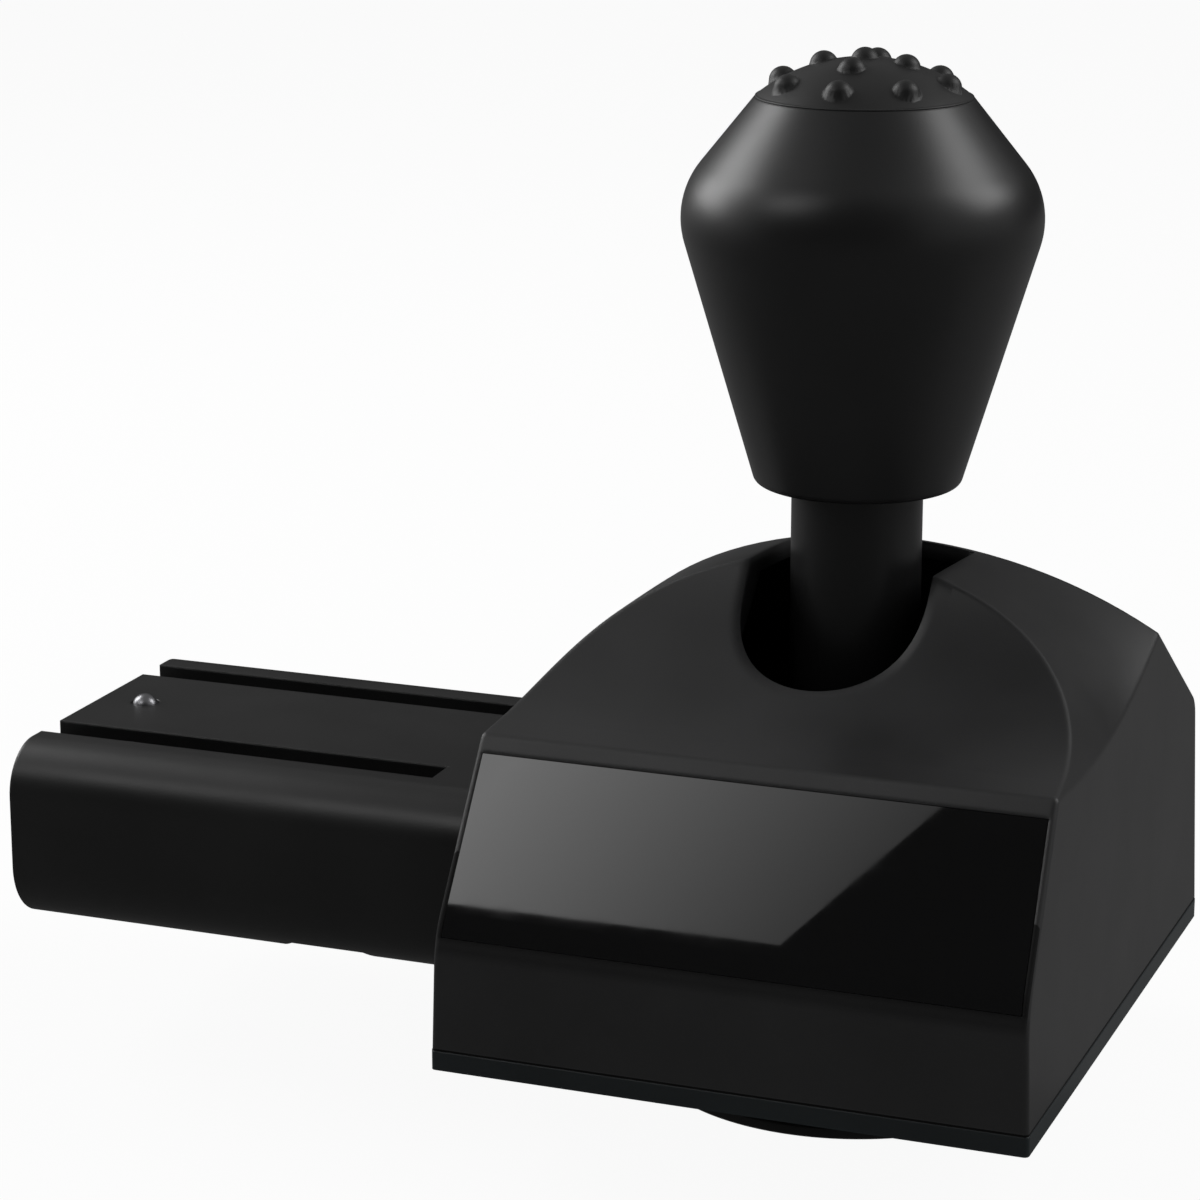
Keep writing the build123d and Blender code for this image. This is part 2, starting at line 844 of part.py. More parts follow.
with BuildPart() as pivot_clips:
    near = cheek_outer + clip_gap
    for limits in ((near, near + clip_thick), (-near - clip_thick, -near)):
        bar_x(limits, 0, pivot_z, clip_radius)
        bar_x(limits, 0, pivot_z, pin_radius, Mode.SUBTRACT)
finish(pivot_clips, "pivot_clips")

# Lever: hub with a fork below the pivot, bushes, rod, nut and sleeve

with BuildPart() as lever_hub:
    bar_x((-hub_half_width, hub_half_width), 0, pivot_z, hub_radius)
    post(0, 0, (pivot_z, hub_top), hub_socket_radius)
    fork_low = guide_z - fork_overhang
    slot_half = trunnion_radius + fork_slot_gap
    slot_limits = (fork_low, guide_z + slot_half + fork_slot_room)
    for x_limits in (
        (fork_inner, fork_inner + fork_thick),
        (-fork_inner - fork_thick, -fork_inner),
    ):
        depth = (-fork_half_depth, fork_half_depth)
        block(x_limits, depth, (fork_low, pivot_z - hub_radius / 2))
        block(x_limits, (-slot_half, slot_half), slot_limits, Mode.SUBTRACT)
    bar_x((-hub_half_width, hub_half_width), 0, pivot_z, pin_radius + pin_fit, Mode.SUBTRACT)
    for limits in bush_sides:
        bar_x(limits, 0, pivot_z, bush_radius, Mode.SUBTRACT)
    post(0, 0, (pivot_z + rod_seat_height, hub_top), rod_radius, Mode.SUBTRACT)
finish(lever_hub, "lever_hub")

with BuildPart() as pivot_bushes:
    for limits in bush_sides:
        bar_x(limits, 0, pivot_z, bush_radius)
        bar_x(limits, 0, pivot_z, pin_radius + pin_fit, Mode.SUBTRACT)
finish(pivot_bushes, "pivot_bushes")

with BuildPart() as lever_rod:
    post(0, 0, (pivot_z + rod_seat_height, insert_base + rod_in_insert), rod_radius)
finish(lever_rod, "lever_rod")

with BuildPart() as lever_nut:
    with BuildSketch(Plane.XY.offset(hub_top)):
        RegularPolygon(lever_nut_radius, 6)
        Circle(rod_radius, mode=Mode.SUBTRACT)
    extrude(amount=lever_nut_thick)
finish(lever_nut, "lever_nut")

with BuildPart() as lever_sleeve:
    sleeve_limits = (hub_top, knob_base + knob_recess)
    recess_top = hub_top + lever_nut_thick + sleeve_recess_gap
    post(0, 0, sleeve_limits, sleeve_radius)
    post(0, 0, sleeve_limits, sleeve_bore_radius, Mode.SUBTRACT)
    post(0, 0, (hub_top, recess_top), sleeve_recess_radius, Mode.SUBTRACT)
finish(lever_sleeve, "lever_sleeve")

# Knob, with its threaded insert and the soft cap on top

with BuildPart() as knob:
    belly_place = (knob_belly_radius, knob_belly)
    foot_place = (knob_base_radius, knob_base)
    cap_floor = knob_seam - cap_depth
    peg_base = cap_floor - cap_peg_length
    with BuildSketch(Plane.XZ) as knob_outline:
        with BuildLine():
            Polyline(
                (0, knob_base),
                foot_place,
                belly_place,
                (knob_seam_radius, knob_seam),
                (0, knob_seam),
                close=True,
            )
        make_face()
        fillet(nearest(knob_outline.vertices(), belly_place), radius=knob_belly_round)
        fillet(nearest(knob_outline.vertices(), foot_place), radius=knob_foot_round)
    revolve(axis=Axis.Z)
    recess_radius = sleeve_radius + knob_recess_gap
    post(0, 0, (knob_base, knob_base + knob_recess), recess_radius, Mode.SUBTRACT)
    post(0, 0, (knob_base, insert_base), sleeve_bore_radius, Mode.SUBTRACT)
    with BuildSketch(Plane.XY.offset(insert_base)):
        RegularPolygon(insert_radius, 6)
    extrude(amount=insert_length, mode=Mode.SUBTRACT)
    post(0, 0, (cap_floor, knob_seam), knob_seam_radius - cap_depth, Mode.SUBTRACT)
    post(0, 0, (peg_base, knob_seam), cap_peg_radius, Mode.SUBTRACT)
finish(knob, "knob")

with BuildPart() as knob_insert:
    with BuildSketch(Plane.XY.offset(insert_base)):
        RegularPolygon(insert_radius, 6)
    extrude(amount=insert_length)
    post(0, 0, (insert_base, insert_base + rod_in_insert), rod_radius, Mode.SUBTRACT)
finish(knob_insert, "knob_insert")

with BuildPart() as knob_cap:
    cap_centre_z = knob_seam + cap_rise - cap_sphere_radius
    cap_angle = degrees(asin(knob_seam_radius / cap_sphere_radius))
    with BuildSketch(Plane.XZ):
        with BuildLine():
            CenterArc((0, cap_centre_z), cap_sphere_radius, 90, -cap_angle)
            Polyline(
                (knob_seam_radius, knob_seam),
                (knob_seam_radius - cap_depth, knob_seam),
                (knob_seam_radius - cap_depth, cap_floor),
                (cap_peg_radius, cap_floor),
                (cap_peg_radius, peg_base),
                (0, peg_base),
                (0, knob_seam + cap_rise),
            )
        make_face()
    revolve(axis=Axis.Z)
    for count, ring_radius in (
        (1, 0),
        (inner_ring_count, inner_ring_radius),
        (outer_ring_count, knob_seam_radius - outer_ring_inset),
    ):
        dome_z = cap_centre_z + sqrt(cap_sphere_radius**2 - ring_radius**2)
        with Locations((0, 0, dome_z - bump_sink)):
            with PolarLocations(ring_radius, count):
                Sphere(bump_radius)
finish(knob_cap, "knob_cap")

# Centring slider, driven by the fork, with the vane that the sensors read

with BuildPart() as slider:
    vane_near = vane_x - vane_thick / 2
    vane_far = vane_x + vane_thick / 2
    fork_outer = fork_inner + fork_thick
    block(
        (-slider_half_width, slider_half_width),
        (-slider_half, slider_half),
        (desk_gap + slider_low_height, desk_gap + slider_high_height),
    )
    bar_x((-fork_outer - trunnion_overhang, vane_near), 0, guide_z, trunnion_radius)
    bar_x((vane_near, vane_far + vane_spigot_overhang), 0, guide_z, vane_spigot_radius)
    bar_y(0, (-slider_half, slider_half), guide_z, guide_radius + pin_fit, Mode.SUBTRACT)
finish(slider, "slider")

with BuildPart() as sensor_vane:
    tab_half = vane_spigot_radius + vane_tab_margin
    vane_top = desk_gap + vane_high_height
    block((vane_near, vane_far), (-tab_half, tab_half), (guide_z - tab_half, vane_top))
    block(
        (vane_near, vane_far),
        (-vane_half_length, vane_half_length),
        (desk_gap + vane_low_height, vane_top),
    )
    bar_x((vane_near, vane_far), 0, guide_z, vane_spigot_radius, Mode.SUBTRACT)
finish(sensor_vane, "sensor_vane")

with BuildPart() as guide_rod:
    reach = bracket_reach + guide_overhang
    bar_y(0, (-reach, reach), guide_z, guide_radius)
finish(guide_rod, "guide_rod")

with BuildPart() as rod_clips:
    near = bracket_reach + clip_gap
    for limits in ((near, near + clip_thick), (-near - clip_thick, -near)):
        bar_y(0, limits, guide_z, rod_clip_radius)
        bar_y(0, limits, guide_z, guide_radius, Mode.SUBTRACT)
finish(rod_clips, "rod_clips")

with BuildPart() as stop_sleeves:
    stop_y = slider_half + stop_gap
    for limits in ((stop_y, end_wall_inner), (-end_wall_inner, -stop_y)):
        bar_y(0, limits, guide_z, stop_sleeve_radius)
        bar_y(0, limits, guide_z, guide_radius + pin_fit, Mode.SUBTRACT)
finish(stop_sleeves, "stop_sleeves")

for side, label in ((-1, "centring_spring_front"), (1, "centring_spring_rear")):
    seat_y = slider_half + spring_seat_gap
    seat = Plane((0, side * seat_y, guide_z), x_dir=(1, 0, 0), z_dir=(0, side, 0))
    with BuildPart() as centring_spring:
        spring_length = end_wall_inner - spring_seat_gap - seat_y
        add(coil(seat, spring_radius, spring_wire_radius, spring_turns, spring_length))
    finish(centring_spring, label)

# Circuit board, with two slotted sensors and a header for the cable

with BuildPart() as sensor_board:
    board_xs = (board_x - board_width / 2, board_x + board_width / 2)
    block(board_xs, (-board_length / 2, board_length / 2), (board_base, board_top))
    for x, y in board_screw_places:
        post(x, y, (board_base, board_top), board_screw_hole_radius, Mode.SUBTRACT)
finish(sensor_board, "sensor_board")

with BuildPart() as board_screws:
    for x, y in board_screw_places:
        post(x, y, (board_top - board_screw_length, board_top), board_screw_radius)
        post(x, y, (board_top, board_top + board_screw_head_height), board_screw_head_radius)
finish(board_screws, "board_screws")

with BuildPart() as slot_sensors:
    sensor_top = board_top + sensor_height
    sensor_xs = (vane_x - sensor_width / 2, vane_x + sensor_width / 2)
    gap_xs = (vane_x - sensor_gap / 2, vane_x + sensor_gap / 2)
    for y_limits in (
        (sensor_near, sensor_near + sensor_length),
        (-sensor_near - sensor_length, -sensor_near),
    ):
        block(sensor_xs, y_limits, (board_top, sensor_top))
        block(gap_xs, y_limits, (board_top + sensor_base_height, sensor_top), Mode.SUBTRACT)
finish(slot_sensors, "slot_sensors")

with BuildPart() as board_header:
    header_ys = (header_y - header_length / 2, header_y + header_length / 2)
    header_xs = (board_x - header_width / 2, board_x + header_width / 2)
    block(header_xs, header_ys, (board_top, board_top + header_height))
finish(board_header, "board_header")

# Arm, with its lock pin, end cap and plug

with BuildPart() as arm_hollow:
    extrude(arm_outline(arm_left - overrun, arm_wall), amount=arm_right - arm_left + 2 * overrun)
    cut_grooves(arm_wall)
    cut_notch(arm_wall)

with BuildPart() as arm_shell:
    extrude(arm_outline(arm_left), amount=arm_right - arm_left)
    add(arm_hollow.part, mode=Mode.SUBTRACT)
    cut_grooves()
    cut_notch()
    for y in arm_screw_ys:
        post(arm_screw_x, y, (arm_inner_base, arm_inner_base + arm_boss_height), boss_radius)
        post(arm_screw_x, y, (arm_base, screw_tip), screw_radius, Mode.SUBTRACT)
    for y in end_screw_ys:
        bar_x((end_cap_right, end_cap_right + end_boss_length), y, end_screw_z, end_boss_radius)
        screw_xs = (end_cap_right, arm_left + screw_head_height + screw_length)
        bar_x(screw_xs, y, end_screw_z, screw_radius, Mode.SUBTRACT)
    post(lock_x, arm_centre_y, (lock_tube_base, arm_inner_top), lock_tube_radius)
    lock_bore = lock_collar_radius + lock_collar_fit
    post(lock_x, arm_centre_y, (lock_tube_base, arm_inner_top), lock_bore, Mode.SUBTRACT)
    post(lock_x, arm_centre_y, (arm_inner_top, arm_top), lock_radius + lock_fit, Mode.SUBTRACT)
finish(arm_shell, "arm_shell")

with BuildPart() as arm_screws:
    for y in arm_screw_ys:
        screw_up(arm_screw_x, y)
finish(arm_screws, "arm_screws")

with BuildPart() as arm_end_cap:
    plug_ys = (arm_centre_y - plug_width / 2, arm_centre_y + plug_width / 2)
    plug_zs = (desk_gap + plug_low_height, desk_gap + plug_high_height)
    extrude(arm_outline(arm_left, arm_wall + end_cap_fit), amount=end_cap_thick)
    cut_grooves(arm_wall + end_cap_fit)
    block(
        (arm_left, end_cap_right),
        (plug_ys[0] - end_cap_fit, plug_ys[1] + end_cap_fit),
        (plug_zs[0] - end_cap_fit, plug_zs[1] + end_cap_fit),
        Mode.SUBTRACT,
    )
    for y in end_screw_ys:
        head_xs = (arm_left, arm_left + screw_head_height)
        bar_x((arm_left, end_cap_right), y, end_screw_z, screw_hole_radius, Mode.SUBTRACT)
        bar_x(head_xs, y, end_screw_z, screw_head_radius + screw_head_gap, Mode.SUBTRACT)
finish(arm_end_cap, "arm_end_cap")

with BuildPart() as end_cap_screws:
    for y in end_screw_ys:
        bar_x(head_xs, y, end_screw_z, screw_head_radius)
        bar_x((head_xs[1], head_xs[1] + screw_length), y, end_screw_z, screw_radius)
finish(end_cap_screws, "end_cap_screws")

with BuildPart() as arm_plug:
    plug_z = (plug_zs[0] + plug_zs[1]) / 2
    mouth_right = arm_left + mouth_depth
    mouth_ys = (arm_centre_y - mouth_width / 2, arm_centre_y + mouth_width / 2)
    mouth_zs = (plug_z - mouth_height / 2, plug_z + mouth_height / 2)
    contact_xs = (mouth_right - contact_reach, mouth_right - contact_reach + contact_length)
    contact_zs = (plug_z - contact_thick / 2, plug_z + contact_thick / 2)
    block((arm_left, plug_right), plug_ys, plug_zs)
    block((arm_left, mouth_right), mouth_ys, mouth_zs, Mode.SUBTRACT)
    for y in contact_ys:
        y_limits = (y - contact_width / 2, y + contact_width / 2)
        block(contact_xs, y_limits, contact_zs, Mode.SUBTRACT)
finish(arm_plug, "arm_plug")

with BuildPart() as plug_contacts:
    for y in contact_ys:
        block(contact_xs, (y - contact_width / 2, y + contact_width / 2), contact_zs)
finish(plug_contacts, "plug_contacts")

with BuildPart() as lock_pin:
    post(lock_x, arm_centre_y, (lock_collar_base, lock_collar_top), lock_collar_radius)
    post(lock_x, arm_centre_y, (lock_collar_top, lock_tip - lock_radius), lock_radius)
    with Locations((lock_x, arm_centre_y, lock_tip - lock_radius)):
        Sphere(lock_radius)
finish(lock_pin, "lock_pin")

with BuildPart() as lock_seat:
    post(lock_x, arm_centre_y, (lock_tube_base, lock_seat_top), lock_bore)
finish(lock_seat, "lock_seat")

with BuildPart() as lock_spring:
    seat = Plane((lock_x, arm_centre_y, lock_seat_top + spring_seat_gap))
    spring_length = lock_collar_base - spring_seat_gap - seat.origin.Z
    add(coil(seat, lock_spring_radius, lock_spring_wire_radius, lock_spring_turns, spring_length))
finish(lock_spring, "lock_spring")

# Cable from the header round the front of the bracket and along the arm to the plug

with BuildPart() as cable:
    cable_z = desk_gap + cable_height
    with BuildLine() as cable_path:
        FilletPolyline(
            (board_x, header_ys[0], cable_z),
            (board_x, cable_front_y, cable_z),
            (cable_left_x, cable_front_y, cable_z),
            (cable_left_x, arm_centre_y, cable_z),
            (plug_right, arm_centre_y, cable_z),
            radius=cable_bend_radius,
        )
    with BuildSketch(Plane(cable_path.line @ 0, z_dir=cable_path.line % 0)):
        Circle(cable_radius)
    sweep()
finish(cable, "cable")
print("cable bend radius", cable_bend_radius, "length", round(cable_path.wire().length))
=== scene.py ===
import json
import math

import bpy
from mathutils import Matrix, Vector


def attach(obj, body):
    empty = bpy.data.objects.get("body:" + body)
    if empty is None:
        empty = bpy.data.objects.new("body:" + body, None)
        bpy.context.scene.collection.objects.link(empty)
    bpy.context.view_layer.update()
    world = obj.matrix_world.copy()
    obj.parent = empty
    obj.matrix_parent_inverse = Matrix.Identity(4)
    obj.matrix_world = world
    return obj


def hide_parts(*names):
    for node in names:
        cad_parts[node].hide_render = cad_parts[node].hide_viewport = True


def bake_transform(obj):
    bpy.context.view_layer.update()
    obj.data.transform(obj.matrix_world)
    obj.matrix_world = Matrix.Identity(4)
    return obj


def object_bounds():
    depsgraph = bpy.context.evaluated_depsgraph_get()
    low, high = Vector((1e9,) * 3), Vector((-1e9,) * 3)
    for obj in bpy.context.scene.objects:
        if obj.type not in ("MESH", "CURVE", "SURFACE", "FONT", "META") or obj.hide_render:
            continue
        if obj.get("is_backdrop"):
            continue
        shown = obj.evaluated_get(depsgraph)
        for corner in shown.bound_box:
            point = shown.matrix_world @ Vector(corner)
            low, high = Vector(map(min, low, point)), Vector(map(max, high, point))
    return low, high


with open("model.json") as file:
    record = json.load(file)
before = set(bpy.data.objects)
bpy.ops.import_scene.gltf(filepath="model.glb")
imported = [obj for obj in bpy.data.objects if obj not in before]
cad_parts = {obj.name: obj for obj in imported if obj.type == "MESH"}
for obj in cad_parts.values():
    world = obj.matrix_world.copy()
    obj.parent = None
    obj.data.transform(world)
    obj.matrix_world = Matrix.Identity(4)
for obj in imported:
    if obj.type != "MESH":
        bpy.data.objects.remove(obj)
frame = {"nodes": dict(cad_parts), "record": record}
cad_low, cad_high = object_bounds()

# Sizes are written in millimetres, as in the part's source, and turned into metres by MM.
MM = 0.001


# Camera, at the photograph's viewing angle

lens, sensor_width = 113.82, 36.0
camera_data = bpy.data.cameras.new("camera")
camera_data.lens = lens
camera_data.sensor_width = sensor_width
camera_data.clip_start = 0.01
camera_data.clip_end = 50.0
camera = bpy.data.objects.new("camera", camera_data)
bpy.context.scene.collection.objects.link(camera)
right = Vector((0.9331, 0.3597, 0.0)).normalized()
back = Vector((0.3472, -0.9006, 0.2614)).normalized()
up = back.cross(right).normalized()
right = up.cross(back).normalized()
place = Vector((0.15365, -0.4996, 0.2118))
camera.matrix_world = Matrix(
    [
        [right.x, up.x, back.x, place.x],
        [right.y, up.y, back.y, place.y],
        [right.z, up.z, back.z, place.z],
        [0.0, 0.0, 0.0, 1.0],
    ]
)
bpy.context.scene.camera = camera
bpy.context.scene.view_settings.view_transform = "Standard"


# Materials


def new_material(name):
    """An empty material with its principled shader and its node tree."""
    material = bpy.data.materials.new(name)
    material.use_nodes = True
    tree = material.node_tree
    return material, tree, tree.nodes["Principled BSDF"]


def link(tree, source, target):
    tree.links.new(source, target)


def position(tree):
    """The place on the piece, in metres."""
    return tree.nodes.new("ShaderNodeTexCoord").outputs["Object"]


def noise(tree, size, detail=2.0, roughness=0.5):
    """Noise whose features measure about size millimetres."""
    texture = tree.nodes.new("ShaderNodeTexNoise")
    texture.inputs["Scale"].default_value = 1.0 / (size * MM)
    texture.inputs["Detail"].default_value = detail
    texture.inputs["Roughness"].default_value = roughness
    link(tree, position(tree), texture.inputs["Vector"])
    return texture.outputs["Fac"]


def spread(tree, source, low, high, to_low, to_high):
    """A value carried from one range to another."""
    ramp = tree.nodes.new("ShaderNodeMapRange")
    ramp.inputs["From Min"].default_value = low
    ramp.inputs["From Max"].default_value = high
    ramp.inputs["To Min"].default_value = to_low
    ramp.inputs["To Max"].default_value = to_high
    link(tree, source, ramp.inputs["Value"])
    return ramp.outputs["Result"]


def shades(tree, source, dark, light):
    """A colour between two, by a value from 0 to 1."""
    mix = tree.nodes.new("ShaderNodeMix")
    mix.data_type = "RGBA"
    mix.inputs[6].default_value = (*dark, 1.0)
    mix.inputs[7].default_value = (*light, 1.0)
    link(tree, source, mix.inputs[0])
    return mix.outputs[2]


def covered(tree, base, colour, share):
    """A colour laid over another, by a value from 0 to 1."""
    mix = tree.nodes.new("ShaderNodeMix")
    mix.data_type = "RGBA"
    mix.inputs[7].default_value = (*colour, 1.0)
    link(tree, base, mix.inputs[6])
    link(tree, share, mix.inputs[0])
    return mix.outputs[2]


def math_node(tree, operation, first, second):
    node = tree.nodes.new("ShaderNodeMath")
    node.operation = operation
    for socket, value in zip(node.inputs, (first, second)):
        if isinstance(value, (int, float)):
            socket.default_value = value
        else:
            link(tree, value, socket)
    return node.outputs["Value"]


def axes(tree):
    """The place on the piece along X, Y and Z, in metres."""
    parts = tree.nodes.new("ShaderNodeSeparateXYZ")
    link(tree, position(tree), parts.inputs[0])
    return parts.outputs


def inside(tree, source, low, high):
    """1 where a value in metres lies between two in millimetres, and 0 elsewhere."""
    above = math_node(tree, "GREATER_THAN", source, low * MM)
    return math_node(tree, "MULTIPLY", above, math_node(tree, "LESS_THAN", source, high * MM))


def foot_line(tree):
    """1 on the thin shadow line where the body meets its base plate, and 0 elsewhere."""
    return inside(tree, axes(tree)[2], 16.9, 17.42)


def body_round(tree, width):
    """The roundness of the body's edges, in metres: more along the slot, and next to none where the
    inlay meets the front below it."""
    x, y, z = axes(tree)
    slot = math_node(tree, "MULTIPLY", inside(tree, x, -16.5, 16.5), inside(tree, y, -27.0, 60.0))
    front = math_node(tree, "MULTIPLY", inside(tree, x, -40.6, 40.6), inside(tree, z, 30.0, 36.0))
    seam = math_node(tree, "MULTIPLY", front, inside(tree, y, -60.0, -50.0))
    wider = spread(tree, slot, 0.0, 1.0, width * MM, 2.4 * MM)
    return math_node(tree, "MULTIPLY", wider, spread(tree, seam, 0.0, 1.0, 1.0, 0.05))


def inlay_foot(tree):
    """1 in the soft shadow on the front just below the inlay, and falling to 0 further down."""
    x, y, z = axes(tree)
    front = math_node(tree, "MULTIPLY", inside(tree, x, -41.2, 41.2), inside(tree, y, -60.0, -50.0))
    geometry = tree.nodes.new("ShaderNodeNewGeometry")
    facing = tree.nodes.new("ShaderNodeSeparateXYZ")
    link(tree, geometry.outputs["Normal"], facing.inputs[0])
    forward = math_node(tree, "MULTIPLY", front, math_node(tree, "LESS_THAN", facing.outputs[1], -0.5))
    return math_node(tree, "MULTIPLY", forward, spread(tree, z, 30.6 * MM, 33.5 * MM, 0.0, 1.0))


def rounding(tree, width, samples):
    """A bevel node whose width is a number of millimetres, or a socket in metres."""
    bevel = tree.nodes.new("ShaderNodeBevel")
    bevel.samples = samples
    if isinstance(width, (int, float)):
        bevel.inputs["Radius"].default_value = width * MM
    else:
        link(tree, width, bevel.inputs["Radius"])
    return bevel


def relief(tree, shader, height, strength, depth, bevel=None):
    """Bumps of a depth in millimetres on a shader, over its rounded edges where it has them."""
    bump = tree.nodes.new("ShaderNodeBump")
    bump.inputs["Strength"].default_value = strength
    bump.inputs["Distance"].default_value = depth * MM
    link(tree, height, bump.inputs["Height"])
    if bevel:
        link(tree, bevel.outputs["Normal"], bump.inputs["Normal"])
    link(tree, bump.outputs["Normal"], shader.inputs["Normal"])


def edge_mask(tree, radius):
    """About 1 on sharp outer edges and 0 on open faces."""
    bevel = rounding(tree, radius, 4)
    geometry = tree.nodes.new("ShaderNodeNewGeometry")
    dot = tree.nodes.new("ShaderNodeVectorMath")
    dot.operation = "DOT_PRODUCT"
    link(tree, bevel.outputs["Normal"], dot.inputs[0])
    link(tree, geometry.outputs["Normal"], dot.inputs[1])
    return spread(tree, dot.outputs["Value"], 0.995, 0.90, 0.0, 1.0)


def moulded(name, colour, roughness, grain=0.3, depth=0.02, round_edge=0.5, wear_and_highlight=0.25, body=False):
    """Moulded plastic, rubber or paint: a fine grain, uneven gloss, and edges that are rubbed smooth and
    painted lighter, partly as wear and partly as a painted highlight.
    The body has a dark line at its foot, a rounder edge along the slot, and a soft shadow under the
    inlay."""
    material, tree, shader = new_material(name)
    broad = noise(tree, 18.0, 3.0)
    fine = noise(tree, grain, 2.0)
    width = body_round(tree, round_edge) if body else round_edge
    edges = edge_mask(tree, width)
    dark = tuple(c * 0.88 for c in colour)
    light = tuple(min(1.0, c * 1.12) for c in colour)
    tone = shades(tree, spread(tree, broad, 0.3, 0.7, 0.0, 1.0), dark, light)
    # Edges painted lighter in colour: partly rubbed wear, partly a painted highlight along them
    worn_and_highlit = tuple(min(1.0, c * (1.0 + wear_and_highlight) + 0.01 * wear_and_highlight) for c in colour)
    paint = covered(tree, tone, worn_and_highlit, edges)
    if body:
        paint = covered(tree, paint, (0.0005, 0.0005, 0.0006), foot_line(tree))
        paint = covered(tree, paint, (0.0015, 0.0015, 0.0016), inlay_foot(tree))
    link(tree, paint, shader.inputs["Base Color"])
    rough = spread(tree, broad, 0.3, 0.7, roughness - 0.03, roughness + 0.03)
    rough = math_node(tree, "SUBTRACT", rough, math_node(tree, "MULTIPLY", edges, 0.06))
    if body:
        rough = math_node(tree, "MAXIMUM", rough, foot_line(tree))
        rough = math_node(tree, "MAXIMUM", rough, math_node(tree, "MULTIPLY", inlay_foot(tree), 0.9))
    link(tree, rough, shader.inputs["Roughness"])
    shader.inputs["IOR"].default_value = 1.45
    relief(tree, shader, fine, 0.6, depth, rounding(tree, width, 6))
    return material


def metal(name, colour, roughness, streak=0.15):
    """Plated, cast or turned metal: fine tool marks and cloudy patches."""
    material, tree, shader = new_material(name)
    cloud = noise(tree, 3.0, 4.0)
    marks = noise(tree, streak, 3.0, 0.7)
    dark = tuple(c * 0.8 for c in colour)
    tone = shades(tree, spread(tree, cloud, 0.3, 0.7, 0.0, 1.0), dark, colour)
    link(tree, tone, shader.inputs["Base Color"])
    shader.inputs["Metallic"].default_value = 1.0
    rough = spread(tree, marks, 0.3, 0.7, roughness - 0.06, roughness + 0.08)
    link(tree, rough, shader.inputs["Roughness"])
    relief(tree, shader, marks, 0.5, 0.01, rounding(tree, 0.2, 4))
    return material


def gloss(name, colour):
    """Polished black plastic under a clear surface, with faint wiping marks."""
    material, tree, shader = new_material(name)
    smear = noise(tree, 9.0, 4.0, 0.6)
    dark = tuple(c * 0.9 for c in colour)
    tone = shades(tree, spread(tree, smear, 0.3, 0.7, 0.0, 1.0), dark, colour)
    link(tree, tone, shader.inputs["Base Color"])
    link(tree, spread(tree, smear, 0.35, 0.65, 0.012, 0.026), shader.inputs["Roughness"])
    shader.inputs["IOR"].default_value = 1.5
    relief(tree, shader, noise(tree, 6.0, 1.0), 0.15, 0.004)
    return material


materials = {
    "housing_plastic": moulded("housing_plastic", (0.018, 0.018, 0.0185), 0.42, round_edge=0.9, body=True),
    "panel_gloss": gloss("panel_gloss", (0.0065, 0.0065, 0.0067)),
    "base_plastic": moulded("base_plastic", (0.010, 0.0145, 0.0165), 0.4, round_edge=0.5),
    "foot_rubber": moulded("foot_rubber", (0.012, 0.012, 0.012), 0.62, grain=0.5, round_edge=0.3),
    "arm_plastic": moulded("arm_plastic", (0.010, 0.010, 0.010), 0.40, round_edge=0.6),
    "knob_plastic": moulded("knob_plastic", (0.010, 0.010, 0.0103), 0.38, grain=0.25, depth=0.01),
    "cap_rubber": moulded("cap_rubber", (0.009, 0.009, 0.009), 0.5, grain=0.2, round_edge=0.2),
    "lever_paint": moulded("lever_paint", (0.009, 0.009, 0.0093), 0.36, grain=0.25, depth=0.008),
    "steel": metal("steel", (0.24, 0.24, 0.25), 0.34),
    "bright_zinc": metal("bright_zinc", (0.56, 0.58, 0.60), 0.26),
    "cast_zinc": metal("cast_zinc", (0.36, 0.37, 0.38), 0.48, streak=0.5),
    "brass": metal("brass", (0.62, 0.46, 0.19), 0.3),
    "bearing_plastic": moulded("bearing_plastic", (0.62, 0.61, 0.56), 0.4, round_edge=0.2, wear_and_highlight=0.05),
    "board_laminate": moulded(
        "board_laminate", (0.015, 0.075, 0.035), 0.38, grain=0.6, round_edge=0.1, wear_and_highlight=0.1
    ),
    "sensor_plastic": moulded("sensor_plastic", (0.014, 0.014, 0.016), 0.35, round_edge=0.2),
    "header_plastic": moulded("header_plastic", (0.66, 0.64, 0.56), 0.42, round_edge=0.2, wear_and_highlight=0.05),
    "cable_jacket": moulded("cable_jacket", (0.016, 0.016, 0.016), 0.5, grain=0.4, round_edge=0.2),
}


slots = {entry["node"]: entry["material_slot"] for entry in frame["record"]["subparts"]}
for node, slot in slots.items():
    data = frame["nodes"][node].data
    data.materials.clear()
    data.materials.append(materials[slot])


# Meshes


def new_piece(name, vertices, faces, material, body, replaced, sharp=35.0):
    """A mesh piece from points in millimetres, on a body, with its material and the nodes that it
    stands for. Edges sharper than an angle in degrees stay sharp."""
    mesh = bpy.data.meshes.new(name)
    mesh.from_pydata([Vector(v) * MM for v in vertices], [], faces)
    mesh.validate()
    mesh.shade_smooth()
    mesh.set_sharp_from_angle(angle=math.radians(sharp))
    mesh.materials.append(materials[material])
    piece = bpy.data.objects.new(name, mesh)
    bpy.context.scene.collection.objects.link(piece)
    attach(piece, body)
    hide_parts(*replaced)


def rounded(corners, steps=8):
    """A line through corners (r, z) or (r, z, round), with arcs where a corner has a round."""
    points = []
    for number, corner in enumerate(corners):
        here = Vector(corner[:2])
        if len(corner) == 2 or number in (0, len(corners) - 1):
            points.append(tuple(here))
            continue
        before = (Vector(corners[number - 1][:2]) - here).normalized()
        after = (Vector(corners[number + 1][:2]) - here).normalized()
        half = before.angle(after) / 2
        centre = here + (before + after).normalized() * corner[2] / math.sin(half)
        start = here + before * corner[2] / math.tan(half)
        turn = math.pi - 2 * half
        sign = 1 if before.x * after.y - before.y * after.x < 0 else -1
        arm = start - centre
        for step in range(steps + 1):
            angle = sign * turn * step / steps
            spin = Matrix.Rotation(angle, 2)
            points.append(tuple(centre + spin @ arm))
    return points


